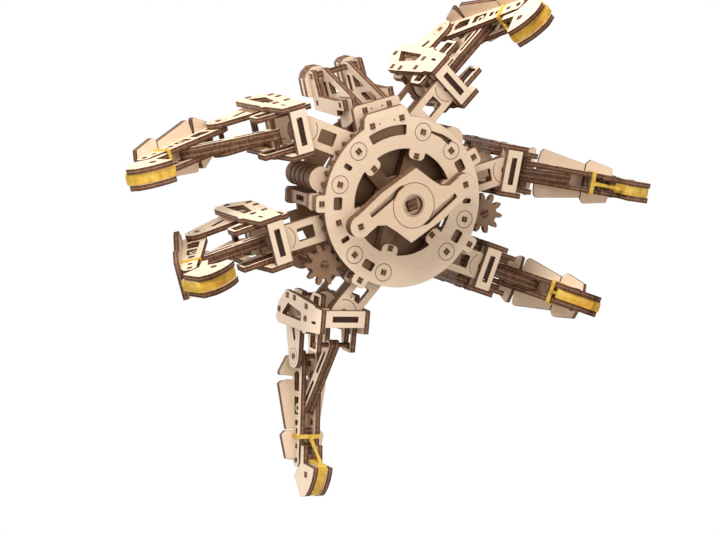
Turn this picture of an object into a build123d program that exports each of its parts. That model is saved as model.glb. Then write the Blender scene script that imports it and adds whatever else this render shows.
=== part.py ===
from build123d import *
import os
from math import acos, atan2, cos, degrees, hypot, pi, radians, sin, tan

# Rubber-band driven hexapod walker of laser-cut plywood, millimetres.
# +X is forward (the head), +Y the walker's left, +Z up.
# Heights are first counted from the lower face of the belly ring; at the end the
# whole walker is moved so that its standing feet are at z = 0.

# ---- sheet and fits ----
PLY = 3.0                 # plywood sheet
GAP = 0.3                 # between plates that slide over one another
PIN_FIT = 0.08            # radial clearance of a pin turning in its hole
PROUD = 0.4               # how far a tenon stands out of its plate
TENON = 3.0               # side of a square tenon

# ---- gear train ----
MODULE = 2.0
PRESSURE_ANGLE = 25.0
GEAR_TEETH = 46
PINION_TEETH = 10
ADDENDUM = 0.8            # in modules
DEDENDUM = 1.05
BACKLASH = 0.35           # across one tooth at the pitch circle
PINION_STEP = 14.5        # gear teeth from the head round to the pinion
GEAR_RIM = 10.0           # pitch circle to the inner side of the toothed ring
SPOKE_WIDTH = 8.0
GEAR_HUB_R = 13.0
SLEEVE_R = 9.0            # the gear's sleeve, which turns in the lower arm frame
AXLE_R = 2.5
CRANK_R = 7.0
LUG_RIM = 4.0             # wood round an axle's hole
DRUM_R = 34.0
DRUM_CORE_R = 30.5
DRUM_BORE_R = 14.0
DRUM_PLIES = 7
BAND = 1.4                # rubber bands' thickness on the drum

PITCH_R = MODULE * GEAR_TEETH / 2
TIP_R = PITCH_R + ADDENDUM * MODULE
PINION_R = PITCH_R + MODULE * PINION_TEETH / 2
PINION_ANGLE = PINION_STEP * 360 / GEAR_TEETH

# ---- levels ----
GEAR_RISE = 2 * PLY + GAP
ARM_RISE = GEAR_RISE + PLY + GAP      # lower arm frame
ARM_TOP = ARM_RISE + PLY
PILLAR_PLIES = 9                      # discs of ply between the arm frames
DECK_RISE = ARM_TOP + PILLAR_PLIES * PLY
COVER_RISE = DECK_RISE + PLY

# ---- body ----
RING_R = 48.0             # belly ring
RING_INNER_R = 30.0
BACKING_INNER_R = 36.0    # second ring behind the belly ring's face
BACKING_R = 44.3
PIN_CIRCLE_R = 40.5       # circle of the square pins
PIN_ANGLES = (30, 60, 90, 120, 150)
POST_ANGLES = (75, 135)
POST_WIDTH = 7.0
POST_WINDOW = 10.0        # height of the window in a post
POST_R = TIP_R + 2 * GAP + PLY / 2    # posts stand just outside the teeth
TAB_WIDTH = 9.5
TAB_REACH = POST_R + 3.5  # tabs at the rim that hold the posts
HEAD_TAB_REACH = 53.3
HEAD_TAB_HALF = 13.0      # half width of the head tab's front
HEAD_TAB_PIN = (46.3, 9.2)
INNER_TAB_R = 24.5
INNER_PIN_R = 26.6
INNER_TAB_WIDTH = 10.0
RIM_WINDOW = 5.0          # radial size of the small windows
RIM_WINDOWS = {75: 7.0, 135: 7.0, 45: 2.8, 105: 2.8}   # angle: width
FRONT_WINDOW = (-17, 15, 5.6)         # from, to, radial width
CRESCENT = (37, 55, 1.2, 3.4)         # from, to, and the width at each
FRAME_INNER_R = 35.0      # the arm frames' own ring
FRAME_RING_R = TIP_R - 1.1
HUB_R = 14.0
PILLAR_ANGLE = 60.0
PILLAR_AT = 48.0
PILLAR_R = 7.0
COVER_R = 30.0            # ring on the walker's back
COVER_INNER_R = 12.0
COVER_WINDOW = 6.0

# ---- winding lever and shaft ----
SHAFT = 6.0               # square shaft
LEVER_DROP = 13.0         # lever's outer face below the belly face
LEVER_LENGTH = 33.6       # centre to the pin near an end
LEVER_END_R = 6.3
LEVER_ANGLE = -94.2       # where the lever points, from the head
LEVER_RECESS_R = 5.6
# one side from an end to the wide corner, and the hollow side back to the other end
LEVER_EDGE = ((16, 13.5), (-7.3, 19.5), (-14.4, 9.9), (-19, 4.7), (-24, 3.0), (-28, 4.5))
LEVER_SLOT = ((0.5, 12.7), (5.4, 13.0), (26.6, 4.9), (26.0, 2.3), (9.5, 7.8), (6.5, 10.6))
RATCHET_HUB_R = 11.0
RATCHET_R = 15.0
RATCHET_TEETH = 12
RATCHET_DEPTH = 3.0

# ---- head ----
TONGUE_REACH = 57.5       # front of the lower arm frame's tongue
TONGUE_HALF = 14.5
BRACKET_X = 54.0          # brackets' tenons in the tongue
BRACKET_Y = 7.6
BRACKET_REST = 42.0       # brackets' tenons in the upper arm frame
APEX = (72.0, 54.5)       # bar at the brackets' tips
CHEEK_Y = 10.0            # inner face of the cheek plates
HOOD_RISE = 59.0          # lower face of the hood's plates
HOOD_PLIES = 3
HOOD_TAB = 66.0           # brackets' tabs through the hood

# ---- legs ----
HIPS = {                  # pivot x, pivot y, arm direction, resting sweep back, resting tibia angle
    1: (53.2, -44.8, -56.0, 34.0, -25.0),
    2: (-2.5, -71.0, -90.0, 2.0, -64.0),
    3: (-53.2, -44.8, -124.0, 38.0, -8.0),
    4: (53.2, 44.8, 56.0, 2.0, -64.0),
    5: (-2.5, 71.0, 90.0, 24.0, -15.0),
    6: (-53.2, 44.8, 124.0, 0.0, -64.0),
}
ARM_HALF = 7.7            # half width of a hip arm
UPPER_ARM_HALF = 6.2      # the upper frame's arms are narrower
ARM_WINDOW = (10.0, 7.4)
ARM_WINDOW_AT = 14.3      # inward of the pivot
HIP_PIN_R = 2.2
HIP_DISC_R = 7.7
BOX_HALF = 12.0           # centre plane to a wing plate's inner face
SLOT_PLATE_IN = 1.7       # slot plate's reach inward and outward of the pivot
SLOT_PLATE_OUT = 7.9
SLOT_AT = 3.2
SLOT = (3.3, 15.6)
KNEE = (33.0, 51.0)       # knee pin, outward of the pivot and above the belly face
KNEE_PIN_R = 1.5
LINK_IN = 6.6             # centre plane to a shoulder link's inner face
LINK_END_R = 6.9
TIBIA = 60.0              # knee pin to ankle pin
TIBIA_IN = 3.3            # centre plane to a tibia frame's inner face
ANKLE_R = 4.0
ROD_AT = 30.0             # knee pin to the rod's pin along the tibia
ROD = 50.0                # rod's length between pins
ROD_WIDTH = 6.0
ROD_SLOT = 2.2
ROD_PIN_R = 1.4
ROD_REST = 40.0           # rod's turn from the tibia, tibia raised to TIBIA_TOP
TIBIA_TOP = -8.0
ROD_RATIO = 0.458         # rod's turn on the tibia for one degree of the knee
GUIDE_T = 9.0             # guide plates lie on the wing plates' inner faces
SOLE_RECESS = 1.8         # core's sole below the pads' edge
FOOT_BAND = 1.2
BAND_HALF = 2.8


def disc(radius, height, rise, at=(0, 0)):
    """Flat disc whose lower face is at rise."""
    return extrude(Plane.XY.offset(rise) * Pos(*at) * Circle(radius), height)


def flat(sketch, rise, height=PLY):
    """A sheet part lying level, its lower face at rise."""
    return extrude(Plane.XY.offset(rise) * sketch, height)


def upright(sketch, inner, height=PLY):
    """A sheet part standing in the leg's plane (sketch x outward, y up), from inner outward along +Y."""
    plane = Plane(origin=(0, inner + height, 0), x_dir=(1, 0, 0), z_dir=(0, -1, 0))
    return extrude(plane * sketch, height)


def both_sides(solid):
    """The solid and its mirror image across the leg's plane."""
    return [solid, mirror(solid, about=Plane.XZ)]


def outline(*points):
    return make_face(Polyline(*points, close=True))


def square(at, size=TENON):
    return Pos(*at) * Rectangle(size, size)


def polar(radius, angle):
    return (radius * cos(radians(angle)), radius * sin(radians(angle)))


def around(angle, sketch):
    return Rot(0, 0, angle) * sketch


def sector(inner, outer, start, end):
    """A window bounded by two arcs and two radial ends."""
    middle = (start + end) / 2
    edges = [
        ThreePointArc(polar(outer, start), polar(outer, middle), polar(outer, end)),
        Line(polar(outer, end), polar(inner, end)),
        ThreePointArc(polar(inner, end), polar(inner, middle), polar(inner, start)),
        Line(polar(inner, start), polar(outer, start)),
    ]
    return make_face(Wire([edge for line in edges for edge in line.edges()]))


def save(name, solids):
    """Write one node; solids that only touch stay separate in it."""
    parts = solids if isinstance(solids, (list, tuple)) else [solids]
    nodes[name] = [solid for part in parts for solid in part.solids()]


nodes = {}

# ---------------------------------------------------------------- belly ring
OUTER_PINS = [(side * angle, PIN_CIRCLE_R) for angle in PIN_ANGLES for side in (1, -1)]
INNER_PINS = [(30 + 60 * step, INNER_PIN_R) for step in range(6)]
POSTS = [(side * angle, POST_R) for angle in POST_ANGLES for side in (1, -1)]
HEAD_PINS = [(HEAD_TAB_PIN[0], side * HEAD_TAB_PIN[1]) for side in (1, -1)]
HEAD_TAB = outline(
    (RING_R * 0.75, -HEAD_TAB_HALF - 4), (HEAD_TAB_REACH - 2, -HEAD_TAB_HALF),
    (HEAD_TAB_REACH, -HEAD_TAB_HALF + 2), (HEAD_TAB_REACH, HEAD_TAB_HALF - 2),
    (HEAD_TAB_REACH - 2, HEAD_TAB_HALF), (RING_R * 0.75, HEAD_TAB_HALF + 4),
)


def rim_tab():
    """A tab that stands out of the rim round a post's tenon, with round corners."""
    tab = Pos((RING_R + TAB_REACH) / 2 - 4, 0) * Rectangle(TAB_REACH - RING_R + 8, TAB_WIDTH)
    return fillet(tab.vertices().group_by(Axis.X)[-1], 2.0)


def belly_face():
    """The outer ring with its tabs, windows and pin holes."""
    ring = Circle(RING_R) + HEAD_TAB
    for angle, _ in POSTS:
        ring += around(angle, rim_tab())
    ring -= Circle(RING_INNER_R)
    for angle, _ in INNER_PINS:
        reach = RING_INNER_R + 1 - INNER_TAB_R
        tab = Pos(INNER_TAB_R + reach / 2, 0) * Rectangle(reach, INNER_TAB_WIDTH)
        ring += around(angle, fillet(tab.vertices().group_by(Axis.X)[0], 3.0))
    start, end, width = FRONT_WINDOW
    window = sector(PIN_CIRCLE_R - width / 2, PIN_CIRCLE_R + width / 2, start, end)
    ring -= fillet(window.vertices(), 0.6)
    start, end, thin, wide = CRESCENT
    ring -= outline(
        polar(PIN_CIRCLE_R + 1 + thin, start), polar(PIN_CIRCLE_R + 2.2 + thin, (start + end) / 2),
        polar(PIN_CIRCLE_R + 1 + wide, end), polar(PIN_CIRCLE_R + 1, end),
        polar(PIN_CIRCLE_R + 1.4, (start + end) / 2), polar(PIN_CIRCLE_R + 1, start),
    )
    for angle, width in RIM_WINDOWS.items():
        for side in (1, -1):
            if not CRESCENT[0] < side * angle < CRESCENT[1]:
                window = Pos(PIN_CIRCLE_R - 0.5, 0) * Rectangle(RIM_WINDOW, width)
                ring -= around(side * angle, fillet(window.vertices(), 1.0))
    for angle, radius in OUTER_PINS + INNER_PINS:
        ring -= around(angle, square((radius, 0)))
    for at in HEAD_PINS:
        ring -= square(at)
    for angle, radius in POSTS:
        ring -= around(angle, Pos(radius, 0) * Rectangle(PLY, TENON))
    return flat(ring, 0)


def belly_backing():
    """A narrower ring behind the face, pinned to it."""
    ring = Circle(BACKING_R) + (HEAD_TAB & Circle(HEAD_TAB_REACH - 1)) - Circle(BACKING_INNER_R)
    for angle, radius in OUTER_PINS:
        ring -= around(angle, square((radius, 0)))
    for at in HEAD_PINS:
        ring -= square(at)
    return flat(ring, PLY)


save("belly_ring", [belly_face(), belly_backing()])
save(
    "belly_pins",
    [flat(around(angle, square((radius, 0))), -PROUD, 2 * PLY + PROUD) for angle, radius in OUTER_PINS]
    + [flat(square(at), -PROUD, 2 * PLY + PROUD) for at in HEAD_PINS]
    + [flat(around(angle, square((radius, 0))), -PROUD, PLY + PROUD) for angle, radius in INNER_PINS],
)

# ---------------------------------------------------------------- arm frames
SHAFT_BORE = SHAFT * 2**0.5 / 2 + PIN_FIT
ARM_LENGTH = 36.0         # from a pivot in to the ring
PINIONS = {"pinion_left": PINION_ANGLE, "pinion_right": -PINION_ANGLE}
BRACKET_RESTS = [(BRACKET_REST, side * BRACKET_Y) for side in (1, -1)]
BRACKET_FEET = [(BRACKET_X, side * BRACKET_Y) for side in (1, -1)]


def arm(hip, half):
    """A hip arm in plan: a strip with a round end on the pivot."""
    x, y, direction = hip[:3]
    strip = Pos(-ARM_LENGTH / 2, 0) * Rectangle(ARM_LENGTH, 2 * half) + Circle(half)
    return Pos(x, y) * Rot(0, 0, direction) * strip


def arm_cuts(hip):
    """The pivot hole and the window of a hip arm."""
    x, y, direction = hip[:3]
    window = fillet(Rectangle(*ARM_WINDOW).vertices(), 0.8)
    return Pos(x, y) * Rot(0, 0, direction) * (Circle(HIP_PIN_R + PIN_FIT) + Pos(-ARM_WINDOW_AT, 0) * window)


def arm_frame(half, bore, tongue, rests):
    """Ring, hub with spokes, and six hip arms cut from one sheet; tongue is added, rests are slots."""
    ring = Circle(FRAME_RING_R)
    for hip in HIPS.values():
        ring += arm(hip, half)
    for angle, _ in POSTS:
        ring += around(angle, rim_tab())
    for side in (1, -1):
        ring += Pos(*polar(PILLAR_AT, side * PILLAR_ANGLE)) * Circle(PILLAR_R)
    for angle in PINIONS.values():
        reach = PINION_R - FRAME_INNER_R
        ring += around(angle, Pos(PINION_R - reach / 2, 0) * Rectangle(reach, 2 * AXLE_R + LUG_RIM))
        ring += Pos(*polar(PINION_R, angle)) * Circle(AXLE_R + LUG_RIM)
    ring += tongue
    ring -= Circle(FRAME_INNER_R)
    for step in range(3):
        ring += around(90 + 60 * step, Rectangle(2 * FRAME_INNER_R + 2, SPOKE_WIDTH))
    ring += Circle(HUB_R)
    for hip in HIPS.values():
        ring -= arm_cuts(hip)
    ring -= Circle(bore)
    for angle in PINIONS.values():
        ring -= Pos(*polar(PINION_R, angle)) * Circle(AXLE_R + PIN_FIT)
    for angle, radius in POSTS:
        ring -= around(angle, Pos(radius, 0) * Rectangle(PLY, TENON))
    for at in rests:
        ring -= Pos(*at) * Rectangle(TENON, PLY)
    return ring


TONGUE = outline(
    (FRAME_INNER_R, -TONGUE_HALF), (TONGUE_REACH - 1.5, -TONGUE_HALF), (TONGUE_REACH, -TONGUE_HALF + 2),
    (TONGUE_REACH, TONGUE_HALF - 2), (TONGUE_REACH - 1.5, TONGUE_HALF), (FRAME_INNER_R, TONGUE_HALF),
)
BACK_REST = Pos(BRACKET_REST, 0) * Rectangle(2 * (FRAME_RING_R - BRACKET_REST), 2 * (BRACKET_Y + PLY))
save("lower_arm_frame", flat(arm_frame(ARM_HALF, SLEEVE_R + PIN_FIT, TONGUE, BRACKET_FEET), ARM_RISE))
save("upper_arm_frame", flat(arm_frame(UPPER_ARM_HALF, SHAFT_BORE, BACK_REST, BRACKET_RESTS), DECK_RISE))


def post(angle):
    """Upright plate from the belly ring to the upper arm frame, with tenons through all three."""
    stem = Pos(POST_R, 0) * Rectangle(PLY, TENON)
    solid = flat(around(angle, stem), -PROUD, DECK_RISE + PLY + 2 * PROUD)
    for low, high in ((PLY, ARM_RISE), (ARM_TOP, DECK_RISE)):
        solid += flat(around(angle, Pos(POST_R, 0) * Rectangle(PLY, POST_WIDTH)), low, high - low)
    middle = (ARM_TOP + DECK_RISE) / 2
    return solid - flat(around(angle, stem), middle - POST_WINDOW / 2, POST_WINDOW)


save("chassis_posts", [post(angle) for angle, _ in POSTS])
save(
    "stacked_pillars",
    [
        disc(PILLAR_R - 0.4 * (ply % 2), PLY, ARM_TOP + ply * PLY, polar(PILLAR_AT, side * PILLAR_ANGLE))
        for side in (1, -1)
        for ply in range(PILLAR_PLIES)
    ],
)


def back_cover():
    """Ring on the walker's back with six long windows, on the upper arm frame."""
    ring = Circle(COVER_R) - Circle(COVER_INNER_R)
    middle = (COVER_R + COVER_INNER_R) / 2
    for step in range(6):
        window = sector(middle - COVER_WINDOW / 2, middle + COVER_WINDOW / 2, 60 * step + 9, 60 * step + 51)
        ring -= fillet(window.vertices(), 1.5)
    return flat(ring, COVER_RISE)


save("back_cover", back_cover())

# ---------------------------------------------------------------- winding lever
LEVER_PINS = [Pos(side * LEVER_LENGTH, 0) * Rectangle(TENON, TENON) for side in (1, -1)]
LEVER_TURN = Rot(0, 0, LEVER_ANGLE)
SHAFT_SECTION = LEVER_TURN * Rectangle(SHAFT, SHAFT)


def lever_sketch():
    """Long point-symmetric bar with round ends, widest beside the hub."""
    half = outline(
        (LEVER_LENGTH, LEVER_END_R), *LEVER_EDGE, (-LEVER_LENGTH, LEVER_END_R),
        (-LEVER_LENGTH, 0), (LEVER_LENGTH, 0),
    )
    ends = Pos(LEVER_LENGTH, 0) * Circle(LEVER_END_R) + Pos(-LEVER_LENGTH, 0) * Circle(LEVER_END_R)
    return ends + half + Rot(0, 0, 180) * half


def winding_lever():
    """Outer plate with two slots, under plate that holds the shaft, and a pin near each end."""
    outer = lever_sketch() - Circle(LEVER_RECESS_R)
    slot = fillet(outline(*LEVER_SLOT).vertices(), 0.5)
    under = lever_sketch() - Rectangle(SHAFT, SHAFT)
    for turn in (0, 180):
        outer -= Rot(0, 0, turn) * slot
    for pin in LEVER_PINS:
        outer -= pin
        under -= pin
    pins = [flat(LEVER_TURN * pin, -LEVER_DROP - PROUD, 2 * PLY + PROUD) for pin in LEVER_PINS]
    return [flat(LEVER_TURN * outer, -LEVER_DROP), flat(LEVER_TURN * under, -LEVER_DROP + PLY)] + pins


save("winding_lever", winding_lever())


def ratchet_wheel():
    """Saw-toothed wheel and its round hub behind the lever."""
    points = []
    for tooth in range(RATCHET_TEETH):
        start = 360 / RATCHET_TEETH * tooth
        points += [polar(RATCHET_R, start), polar(RATCHET_R - RATCHET_DEPTH, start + 4)]
    base = -LEVER_DROP + 2 * PLY
    top = -GAP - PLY
    hub = flat(Circle(RATCHET_HUB_R) - SHAFT_SECTION, base, top - base)
    return [hub, flat(outline(*points) - SHAFT_SECTION, top)]


save("ratchet_wheel", ratchet_wheel())
SHAFT_LOW = -LEVER_DROP + PLY / 3     # a little inside the outer plate's round recess
save("winding_shaft", flat(SHAFT_SECTION, SHAFT_LOW, COVER_RISE + 2 * PLY / 3 - SHAFT_LOW))

# ---------------------------------------------------------------- gear train


def involute(angle):
    return tan(angle) - angle


def gear_sketch(teeth, phase):
    """Spur gear with stub involute teeth; one tooth is centred at phase degrees."""
    pitch = MODULE * teeth / 2
    base = pitch * cos(radians(PRESSURE_ANGLE))
    tip = pitch + ADDENDUM * MODULE
    root = pitch - DEDENDUM * MODULE
    half = pi / (2 * teeth) - BACKLASH / 2 / pitch
    flank = []
    for radius in (root, max(base, root), (max(base, root) + pitch) / 2, (pitch + tip) / 2, tip):
        lean = acos(min(1.0, base / radius)) if radius > base else 0.0
        flank.append((radius, half + involute(radians(PRESSURE_ANGLE)) - involute(lean)))
    if base <= root:
        flank = flank[1:]
    points = []
    for tooth in range(teeth):
        centre = radians(phase) + 2 * pi * tooth / teeth
        for radius, spread in flank:
            points.append((radius * cos(centre - spread), radius * sin(centre - spread)))
        for radius, spread in reversed(flank):
            points.append((radius * cos(centre + spread), radius * sin(centre + spread)))
    return outline(*points)


def drive_gear():
    """Toothed ring on six spokes, with a sleeve that turns in the lower arm frame."""
    inner = PITCH_R - GEAR_RIM
    gear = gear_sketch(GEAR_TEETH, 0) - Circle(inner)
    for step in range(3):
        gear += around(30 + 60 * step, Rectangle(2 * inner + 2, SPOKE_WIDTH))
    gear += Circle(GEAR_HUB_R)
    sleeve = Circle(SLEEVE_R) - Circle(SHAFT_BORE)
    return [flat(gear - Circle(SHAFT_BORE), GEAR_RISE), flat(sleeve, ARM_RISE - GAP, PLY + 2 * GAP)]


def motor_drum():
    """Drum on the gear's sleeve: two flanges and a core, glued from plies, that the rubber winds on."""
    base = ARM_TOP + GAP
    core = (DRUM_PLIES - 2) * PLY
    return [
        flat(Circle(DRUM_R) - Circle(SHAFT_BORE), base),
        flat(Circle(DRUM_CORE_R) - Circle(DRUM_BORE_R), base + PLY, core),
        flat(Circle(DRUM_R) - Circle(DRUM_BORE_R), base + PLY + core),
    ]


def pinion(angle):
    """Pinion, its axle through both arm frames, and a crank disc inside each of them."""
    step = 360 / GEAR_TEETH
    tooth = angle % step if angle > 0 else -(-angle % step)
    meet = angle + 180 + tooth * GEAR_TEETH / PINION_TEETH + 180 / PINION_TEETH
    wheel = gear_sketch(PINION_TEETH, meet) - Circle(AXLE_R)
    crank = Circle(CRANK_R) - Circle(AXLE_R)
    solids = [
        flat(wheel, GEAR_RISE),
        flat(crank, ARM_TOP + GAP),
        flat(crank, DECK_RISE - GAP - PLY),
        disc(AXLE_R, COVER_RISE + 2 * PROUD - GEAR_RISE, GEAR_RISE - PROUD),
    ]
    return [Pos(*polar(PINION_R, angle)) * solid for solid in solids]


save("drive_gear", drive_gear())
save("motor_drum", motor_drum())
band_ring = Circle(DRUM_CORE_R + BAND) - Circle(DRUM_CORE_R)
save("motor_band", flat(band_ring, ARM_TOP + GAP + PLY, (DRUM_PLIES - 2) * PLY))
for name, angle in PINIONS.items():
    save(name, pinion(angle))

# ---------------------------------------------------------------- head


def head_brackets():
    """Two upright A-frames between the tongue and the upper arm frame, with the bar through their tips."""
    x, top = APEX
    shape = outline(
        (BRACKET_X - 4, ARM_TOP), (BRACKET_X + 3, ARM_TOP), (60.3, 20), (x + 3, top - 3), (x + 2.5, top + 2),
        (x - 1, top + 4.5), (55, top + 3), (BRACKET_X - 3.5, DECK_RISE + 7), (BRACKET_X - 3.5, DECK_RISE),
        (BRACKET_REST - 3, DECK_RISE), (BRACKET_REST - 3, DECK_RISE - 5), (BRACKET_X - 5, DECK_RISE - 5),
    )
    shape += Pos(BRACKET_X, (ARM_RISE - PROUD + ARM_TOP) / 2) * Rectangle(TENON, PLY + PROUD)
    shape += Pos(BRACKET_REST, DECK_RISE + (PLY + PROUD) / 2) * Rectangle(TENON, PLY + PROUD)
    tab = HOOD_PLIES * PLY + PROUD + 2
    shape += Pos(HOOD_TAB, HOOD_RISE - 2 + tab / 2) * Rectangle(TENON, tab)
    shape -= fillet(outline((67.5, 55.8), (58, 54.5), (57.5, 51), (67, 52)).vertices(), 0.7)
    shape -= fillet(outline((68, 48.5), (60.5, 46.8), (62.3, 34.5)).vertices(), 0.7)
    shape -= fillet(outline((57.8, 42.5), (54, 35.5), (55.8, 20), (59.5, 27)).vertices(), 0.7)
    shape -= Pos(x, top) * Rectangle(TENON, TENON)
    return both_sides(upright(shape, BRACKET_Y - PLY / 2))


CHEEK_PINS = ((58.0, 22.6), (56.5, 54.0))


def jaw_plates():
    """On each side a cheek standing on the tongue, and a jaw arm outside it that holds the bar."""
    cheek = outline((50, ARM_TOP), (61.8, ARM_TOP), (60.5, 33), (43, 33), (44.5, 25))
    jaw = outline(
        (51, 29), (60, 27), (60.5, 50), (69, 51), (75, 52), (75, 57), (72, HOOD_RISE), (52, HOOD_RISE),
    )
    jaw += outline((55, 18.5), (61, 18.5), (60, 27), (60, 33), (54.5, 31))
    low, high = [square(at) for at in CHEEK_PINS]
    cheek = fillet(cheek.vertices(), 0.8) - low
    solids = [
        upright(cheek, CHEEK_Y),
        upright(jaw - low - high - square(APEX), CHEEK_Y + PLY),
        upright(low, CHEEK_Y, 2 * PLY),
        upright(high, CHEEK_Y + PLY),
    ]
    return [side for solid in solids for side in both_sides(solid)]


HOOD = (                  # one side's plate, forward and out from the middle, with a rounded front corner
    (57.5, 9.5), (58.5, 6.0), (74.0, 5.0), (76.0, 7.5),
    (76.4, 12.5), (74.0, 16.6), (70.3, 18.7), (60.0, 18.7),
)


def head_lobes():
    """Round-cornered hood of level plies over each side's bracket and jaw arm, on the brackets' tabs."""
    plate = fillet(outline(*HOOD).vertices(), 1.2)
    plate -= Pos(HOOD_TAB, BRACKET_Y) * Rectangle(TENON, PLY)
    solids = []
    for ply in range(HOOD_PLIES):
        solids += both_sides(flat(plate, HOOD_RISE + ply * PLY))
    return solids


HEAD_HALF = CHEEK_Y + 2 * PLY + PROUD
apex_bar = Pos(APEX[0], 0, APEX[1]) * Box(TENON, 2 * HEAD_HALF, TENON)
save("head_brackets", head_brackets() + [apex_bar])
save("jaw_plates", jaw_plates())
save("head_lobes", head_lobes())

# ---------------------------------------------------------------- legs
SLOT_RISE = ARM_RISE - GAP - PLY
UPPER_SLOT_RISE = COVER_RISE + GAP
UPPER_DISC_RISE = DECK_RISE - GAP - PLY
SLOT_TENON_IN = 2.4       # upper slot plate's tenons in the wings, inward of the pivot
GUIDE_LOW = 16.9
GUIDE_HIGH = 24.7
GUIDE_BACK = -7.4
GUIDE_OUT = 22.3
GUIDE_RIM = 1.7
GUIDE_TENON_V = 27.5
GUIDE_TENONS = (-0.4, 6.5)
BARS = ((-2.2, 54.4), (7.5, 64.6))    # cross bars through wing plates and shoulder links
WING = (                  # side of the hip box, outward across and up
    (-1.9, SLOT_RISE), (11.6, SLOT_RISE), (13.6, 24.5), (15.2, 26.2), (15.2, 29.4), (14.3, 31.0),
    (15.5, 64.5), (13.0, 68.6), (4.0, 66.5), (-5.0, 57.5),
    (-4.6, 44.0), (-3.4, 24.0), (-3.0, 17.0), (-1.9, 15.0),
)
WING_WINDOWS = (
    ((9.7, 60.5), (2.0, 52.8), (4.4, 33.8), (9.2, 33.4)),
    ((5.8, 13.2), (7.4, 13.2), (7.6, 17.3), (7.0, 22.0)),
)
LINK = (
    (12.0, 45.2), (9.0, UPPER_SLOT_RISE + PLY + GAP), (-6.0, UPPER_SLOT_RISE + PLY + GAP),
    (-6.0, 56.5), (4.0, 66.5), (9.5, 69.0), (14.5, 66.0),
)
LINK_SLOT = ((15.5, 55.5), (22.5, 51.8), 2.6)


def slot_plate(rise, inward):
    """Level plate across the wing plates, with its slot and a wedge tenon in it."""
    plate = Pos((SLOT_PLATE_OUT - inward) / 2, 0) * Rectangle(SLOT_PLATE_OUT + inward, 2 * BOX_HALF)
    slot = Pos(SLOT_AT, 0) * Rectangle(*SLOT)
    wedge = Pos(SLOT_AT, 0) * Rectangle(SLOT[0], SLOT[1] - TENON)
    return [flat(plate - slot, rise), flat(wedge, rise + PROUD, PLY - 2 * PROUD)]


def wing_plates():
    """Two upright side plates with a tall window and a small one, and holes for all that crosses them."""
    wing = fillet(outline(*WING).vertices(), 0.9)
    for window in WING_WINDOWS:
        wing -= fillet(outline(*window).vertices(), 0.5)
    for at in BARS + ((-SLOT_TENON_IN, UPPER_SLOT_RISE + PLY / 2),):
        wing -= square(at)
    for u in GUIDE_TENONS:
        wing -= square((u, GUIDE_TENON_V))
    return both_sides(upright(wing, BOX_HALF))


def guide_plates():
    """Slotted plates on the wings' inner faces, in which the rod's inner pin runs."""
    low = GUIDE_LOW - GUIDE_RIM
    high = GUIDE_TENON_V + TENON
    plate = fillet(outline(
        (GUIDE_BACK - GUIDE_RIM, low), (GUIDE_OUT + GUIDE_RIM, low),
        (GUIDE_OUT + GUIDE_RIM, GUIDE_HIGH + GUIDE_RIM), (GUIDE_TENONS[1] + TENON, high),
        (GUIDE_TENONS[0] - TENON, high), (GUIDE_BACK - GUIDE_RIM, GUIDE_HIGH + GUIDE_RIM),
    ).vertices(), 1.2)
    middle = ((GUIDE_OUT + GUIDE_BACK) / 2, (GUIDE_HIGH + GUIDE_LOW) / 2)
    plate -= Pos(*middle) * Rectangle(GUIDE_OUT - GUIDE_BACK, GUIDE_HIGH - GUIDE_LOW)
    solids = []
    for u in GUIDE_TENONS:
        plate -= square((u, GUIDE_TENON_V))
        solids += both_sides(upright(square((u, GUIDE_TENON_V)), GUIDE_T, BOX_HALF + PLY + PROUD - GUIDE_T))
    return both_sides(upright(plate, GUIDE_T)) + solids


def hip_box():
    """Box round an arm of each frame: pivot pins and discs, slot plates, wings, guides and cross bars."""
    pins = [
        disc(HIP_PIN_R, PLY + 2 * GAP, ARM_RISE - GAP),
        disc(HIP_PIN_R, PLY + 2 * GAP, DECK_RISE - GAP),
    ]
    discs = [disc(HIP_DISC_R, PLY, ARM_TOP + GAP), disc(HIP_DISC_R, PLY, UPPER_DISC_RISE)]
    webs = []
    for rise in (ARM_TOP + GAP, UPPER_DISC_RISE):
        web = Rectangle(TENON * 2, 2 * BOX_HALF) - Circle(HIP_DISC_R)
        webs.append(flat(Pos(1.0, 0) * web, rise) - disc(HIP_DISC_R, PLY, rise))
    half = BOX_HALF + PLY + PROUD
    cross = [Pos(u, 0, v) * Box(TENON, 2 * half, TENON) for u, v in BARS]
    tenon = Pos(-SLOT_TENON_IN, BOX_HALF + (PLY + PROUD) / 2, UPPER_SLOT_RISE + PLY / 2)
    tenons = both_sides(tenon * Box(TENON, PLY + PROUD, TENON))
    plates = slot_plate(SLOT_RISE, SLOT_PLATE_IN) + slot_plate(UPPER_SLOT_RISE, SLOT_TENON_IN + TENON / 2)
    return plates + wing_plates() + guide_plates() + pins + discs + webs + cross + tenons


def shoulder_links():
    """Two plates from inside the box out to the knee pin."""
    knee = Pos(*KNEE)
    u, v = KNEE
    link = outline(*LINK, (u + LINK_END_R * 0.45, v + LINK_END_R * 0.89), (u - 1, v - LINK_END_R))
    link += knee * Circle(LINK_END_R)
    start, end, width = LINK_SLOT
    along, up = end[0] - start[0], end[1] - start[1]
    slot = SlotCenterToCenter(hypot(along, up), width)
    lean = Rot(0, 0, degrees(atan2(up, along)))
    link -= Pos((start[0] + end[0]) / 2, (start[1] + end[1]) / 2) * lean * slot
    link -= knee * Circle(KNEE_PIN_R)
    for at in BARS:
        link -= square(at)
    pin = Pos(u, 0, v) * Rot(90, 0, 0) * Cylinder(KNEE_PIN_R, 2 * (LINK_IN + PLY + PROUD))
    return both_sides(upright(link, LINK_IN)) + [pin]


def leg_part(hip, solids):
    """Set parts made in the leg's own frame at their hip."""
    x, y, direction, sweep, _ = hip
    turn = direction + (sweep if y > 0 else -sweep)
    return [Pos(x, y) * Rot(0, 0, turn) * solid for solid in solids]


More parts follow.
